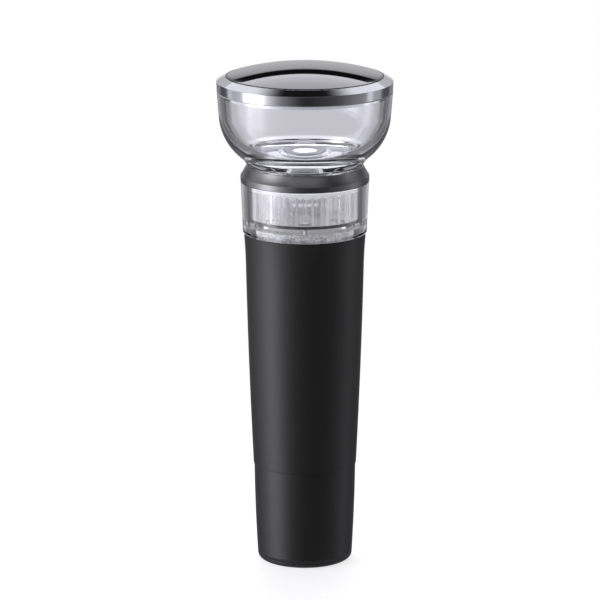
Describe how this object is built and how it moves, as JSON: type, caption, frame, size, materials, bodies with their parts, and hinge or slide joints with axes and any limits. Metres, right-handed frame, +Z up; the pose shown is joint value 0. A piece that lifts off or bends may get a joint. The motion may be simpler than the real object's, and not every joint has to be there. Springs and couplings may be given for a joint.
{
  "type": "electric wine opener",
  "caption": "Slim cordless bottle opener standing on its nose: clear bowl-shaped push head with dark dome, metal collar, clear lit ring, tapered black sleeve and pull-off foil cutter.",
  "frame": {"origin": "middle of the flat ring that the opener stands on, at its bottle end", "axes": "+Z up along the tool's axis, from the bottle end to the push head; the cutter's jaws open along +X and -X"},
  "size_m": [0.0752, 0.0752, 0.2176],
  "materials": {
    "soft_black": "soft-touch, fine grain",
    "black_plastic": "moulded, satin",
    "clear_plastic": "clear, polished",
    "frosted_plastic": "translucent white, ribbed",
    "white_plastic": "moulded, satin",
    "brushed_metal": "turned and brushed",
    "collar_metal": "bead blasted, dark grey",
    "dark_dome": "polished, near black",
    "seal_white": "translucent silicone",
    "steel": "bright machined",
    "spring_steel": "drawn wire",
    "worm_steel": "polished",
    "bronze": "sintered",
    "gear_plastic": "natural acetal",
    "black_rubber": "moulded",
    "contact_brass": "plated strip",
    "cell_jacket": "gloss sleeve, plain",
    "board_green": "glass-fibre board",
    "board_white": "white solder mask",
    "magnet": "ferrite",
    "core": "laminated and wound"
  },
  "bodies": {
    "housing": {"outer_sleeve": "soft_black", "clip_ring": "spring_steel", "cork_tube": "clear_plastic", "lip_cushion": "black_rubber", "gear_housing": "gear_plastic", "output_bush": "bronze", "works_screws": "steel", "motor_plate": "steel", "motor_screws": "steel", "motor_can": "steel", "motor_end_cap": "black_plastic", "motor_magnets": "magnet", "chassis_front": "black_plastic", "chassis_rear": "black_plastic", "lower_contacts": "contact_brass", "battery_cells": "cell_jacket", "control_board": "board_green"},
    "rotor": {"motor_shaft": "steel", "armature": "core", "sun_pinion": "bronze"},
    "first_carrier": {"carrier_1": "steel"},
    "output": {"carrier_2": "steel", "worm_hub": "black_plastic", "worm": "worm_steel"},
    "top_unit": {"window_cup": "clear_plastic", "contact_plate": "white_plastic", "top_screws": "steel", "contact_springs": "spring_steel", "top_o_ring": "black_rubber", "lamp_board": "board_white", "lamp_lenses": "clear_plastic", "fluted_diffuser": "frosted_plastic", "stem_guide": "white_plastic", "collar_ring": "collar_metal", "switch_body": "black_plastic", "head_spring": "spring_steel"},
    "plunger": {"switch_plunger": "white_plastic"},
    "push_head": {"head_bowl": "clear_plastic", "stem_tube": "brushed_metal", "light_pipe": "clear_plastic", "stem_clip": "spring_steel", "bezel_seal": "seal_white", "bezel_ring": "brushed_metal", "lens_dome": "dark_dome"},
    "foil_cutter": {"cutter_mouth_ring": "soft_black", "cutter_shell": "soft_black", "jaw_springs": "spring_steel"},
    "right_jaw": {"jaw_right": "black_plastic"},
    "left_jaw": {"jaw_left": "black_plastic"},
    "planet_1_a": {"planet_1_a": "gear_plastic"},
    "planet_1_b": {"planet_1_b": "gear_plastic"},
    "planet_1_c": {"planet_1_c": "gear_plastic"},
    "planet_2_a": {"planet_2_a": "gear_plastic"},
    "planet_2_b": {"planet_2_b": "gear_plastic"},
    "planet_2_c": {"planet_2_c": "gear_plastic"},
    "wheel_right_front": {"wheel_right_front": "steel"},
    "wheel_right_rear": {"wheel_right_rear": "steel"},
    "wheel_left_front": {"wheel_left_front": "steel"},
    "wheel_left_rear": {"wheel_left_rear": "steel"}
  },
  "joints": [
    {"name": "rotor_spin", "type": "hinge", "parent": "housing", "child": "rotor", "pos_m": [0, 0, 0.109], "axis": [0, 0, 1], "continuous": true},
    {"name": "first_carrier_spin", "type": "hinge", "parent": "housing", "child": "first_carrier", "pos_m": [0, 0, 0.0915], "axis": [0, 0, 1], "continuous": true},
    {"name": "worm_spin", "type": "hinge", "parent": "housing", "child": "output", "pos_m": [0, 0, 0.0827], "axis": [0, 0, 1], "continuous": true},
    {"name": "planet_1_a_spin", "type": "hinge", "parent": "first_carrier", "child": "planet_1_a", "pos_m": [0.0075, 0, 0.0941], "axis": [0, 0, 1], "continuous": true},
    {"name": "planet_1_b_spin", "type": "hinge", "parent": "first_carrier", "child": "planet_1_b", "pos_m": [-0.00375, 0.0065, 0.0941], "axis": [0, 0, 1], "continuous": true},
    {"name": "planet_1_c_spin", "type": "hinge", "parent": "first_carrier", "child": "planet_1_c", "pos_m": [-0.00375, -0.0065, 0.0941], "axis": [0, 0, 1], "continuous": true},
    {"name": "planet_2_a_spin", "type": "hinge", "parent": "output", "child": "planet_2_a", "pos_m": [0.0075, 0, 0.0884], "axis": [0, 0, 1], "continuous": true},
    {"name": "planet_2_b_spin", "type": "hinge", "parent": "output", "child": "planet_2_b", "pos_m": [-0.00375, 0.0065, 0.0884], "axis": [0, 0, 1], "continuous": true},
    {"name": "planet_2_c_spin", "type": "hinge", "parent": "output", "child": "planet_2_c", "pos_m": [-0.00375, -0.0065, 0.0884], "axis": [0, 0, 1], "continuous": true},
    {"name": "foil_cutter_pull", "type": "slide", "parent": "housing", "child": "foil_cutter", "axis": [0, 0, -1], "range_m": [0, 0.12]},
    {"name": "right_jaw_open", "type": "slide", "parent": "foil_cutter", "child": "right_jaw", "axis": [1, 0, 0], "range_m": [0, 0.0008], "stiffness_N_per_m": 800, "deforming": ["jaw_springs"]},
    {"name": "left_jaw_open", "type": "slide", "parent": "foil_cutter", "child": "left_jaw", "axis": [-1, 0, 0], "range_m": [0, 0.0008], "stiffness_N_per_m": 800},
    {"name": "wheel_right_front_spin", "type": "hinge", "parent": "right_jaw", "child": "wheel_right_front", "pos_m": [0.01284, -0.01004, 0.0088], "axis": [0, 0, 1], "continuous": true},
    {"name": "wheel_right_rear_spin", "type": "hinge", "parent": "right_jaw", "child": "wheel_right_rear", "pos_m": [0.01284, 0.01004, 0.0088], "axis": [0, 0, 1], "continuous": true},
    {"name": "wheel_left_front_spin", "type": "hinge", "parent": "left_jaw", "child": "wheel_left_front", "pos_m": [-0.01284, -0.01004, 0.0088], "axis": [0, 0, 1], "continuous": true},
    {"name": "wheel_left_rear_spin", "type": "hinge", "parent": "left_jaw", "child": "wheel_left_rear", "pos_m": [-0.01284, 0.01004, 0.0088], "axis": [0, 0, 1], "continuous": true},
    {"name": "top_unit_lift", "type": "slide", "parent": "housing", "child": "top_unit", "axis": [0, 0, 1], "range_m": [0, 0.06]},
    {"name": "head_press", "type": "slide", "parent": "top_unit", "child": "push_head", "axis": [0, 0, -1], "range_m": [0, 0.001], "stiffness_N_per_m": 1500, "springref_m": -0.002, "deforming": ["head_spring"]},
    {"name": "plunger_press", "type": "slide", "parent": "top_unit", "child": "plunger", "axis": [0, 0, -1], "range_m": [0, 0.001]}
  ],
  "couplings": [
    {"joint": "first_carrier_spin", "follows": "rotor_spin", "ratio": 0.2},
    {"joint": "worm_spin", "follows": "rotor_spin", "ratio": 0.04},
    {"joint": "planet_1_a_spin", "follows": "rotor_spin", "ratio": -0.53333},
    {"joint": "planet_1_b_spin", "follows": "rotor_spin", "ratio": -0.53333},
    {"joint": "planet_1_c_spin", "follows": "rotor_spin", "ratio": -0.53333},
    {"joint": "planet_2_a_spin", "follows": "rotor_spin", "ratio": -0.10667},
    {"joint": "planet_2_b_spin", "follows": "rotor_spin", "ratio": -0.10667},
    {"joint": "planet_2_c_spin", "follows": "rotor_spin", "ratio": -0.10667},
    {"joint": "left_jaw_open", "follows": "right_jaw_open", "ratio": 1},
    {"joint": "plunger_press", "follows": "head_press", "ratio": 1}
  ]
}
